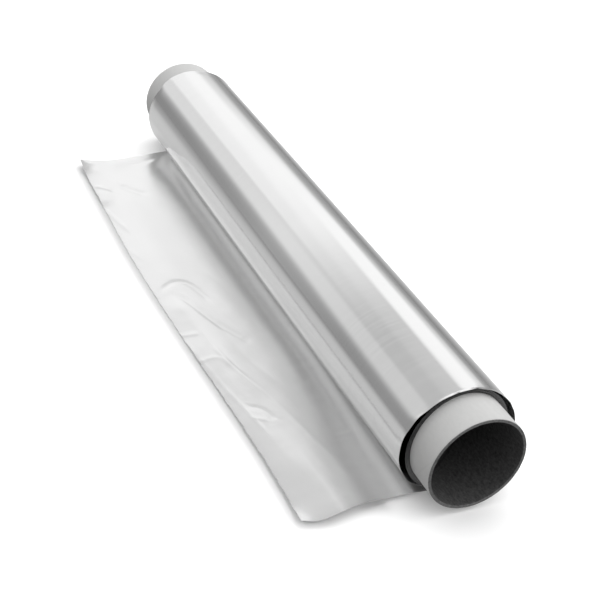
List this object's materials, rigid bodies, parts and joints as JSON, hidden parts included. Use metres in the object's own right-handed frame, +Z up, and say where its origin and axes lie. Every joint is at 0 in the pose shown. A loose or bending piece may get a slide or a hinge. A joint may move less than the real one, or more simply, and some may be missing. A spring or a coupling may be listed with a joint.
{
  "type": "aluminium foil roll",
  "caption": "Household roll of aluminium foil on a bare board tube, lying on its side with a slack outer turn and its free end pulled out flat.",
  "frame": {"origin": "on the tube's axis, at the middle of the web's width", "axes": "+X along the tube towards its shorter bare end, +Z up, the pulled-out free end towards -Y"},
  "size_m": [0.3226, 0.0905, 0.0452],
  "materials": {
    "core_board": "matte",
    "foil_metal": "satin"
  },
  "bodies": {
    "root": {"core_tube": "core_board", "foil": "foil_metal"}
  },
  "joints": []
}
